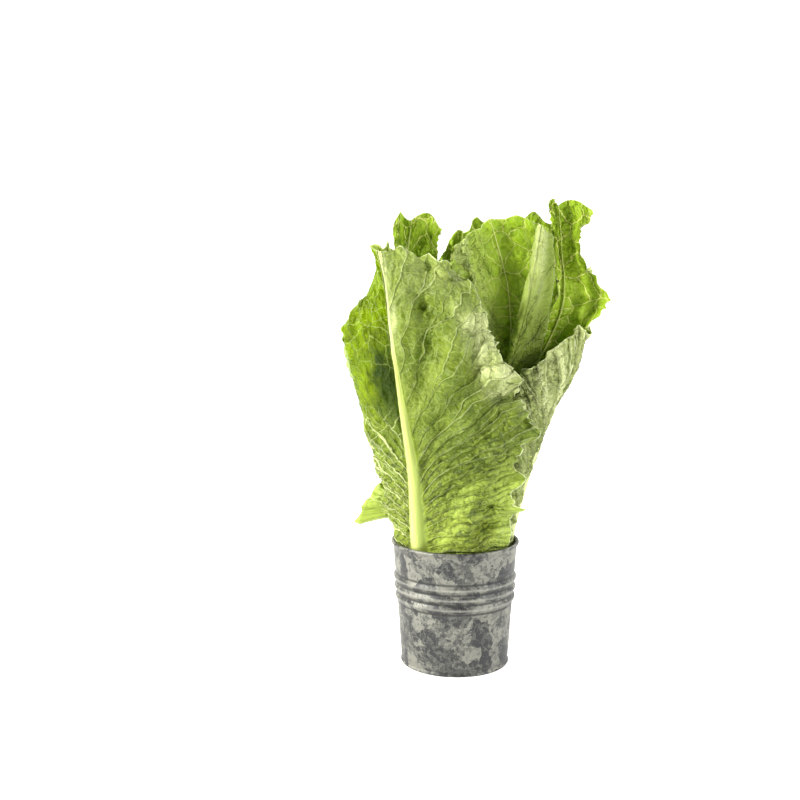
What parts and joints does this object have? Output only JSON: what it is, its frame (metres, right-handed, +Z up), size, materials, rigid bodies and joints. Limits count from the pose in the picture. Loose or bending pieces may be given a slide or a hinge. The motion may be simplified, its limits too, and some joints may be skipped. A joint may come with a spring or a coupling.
{
  "type": "potted romaine lettuce head",
  "caption": "Upright head of romaine lettuce with ruffled leaves and thick pale midribs, standing in a small tapered galvanised steel pot.",
  "frame": {"origin": "middle of the underside of the pot, on the surface the pot stands on", "axes": "+Z up along the pot's axis, -Y towards the front of the head where the widest outer leaf shows its back, +X towards the tall leaf"},
  "size_m": [0.1643, 0.1129, 0.2888],
  "materials": {
    "galvanised_steel": "hot-dip galvanised, matt with large mottled spangle",
    "outer_leaf": "dull waxy leaf back with raised pale veins",
    "inner_leaf": "bright satin leaf face with a cream net of veins",
    "heart_leaf": "pale yellow-green heart leaf and cut stem"
  },
  "bodies": {
    "root": {"pot_body": "galvanised_steel", "pot_base": "galvanised_steel", "stem_and_heart": "heart_leaf", "leaf_front": "outer_leaf", "leaf_right": "outer_leaf", "leaf_outer_left": "outer_leaf", "leaf_outer_back": "outer_leaf", "leaf_outer_right": "outer_leaf", "leaf_centre": "inner_leaf", "leaf_folded": "inner_leaf", "leaf_tall": "inner_leaf", "leaf_back_right_inner": "inner_leaf", "leaf_back_left_inner": "inner_leaf", "leaf_left_inner": "inner_leaf"}
  },
  "joints": []
}
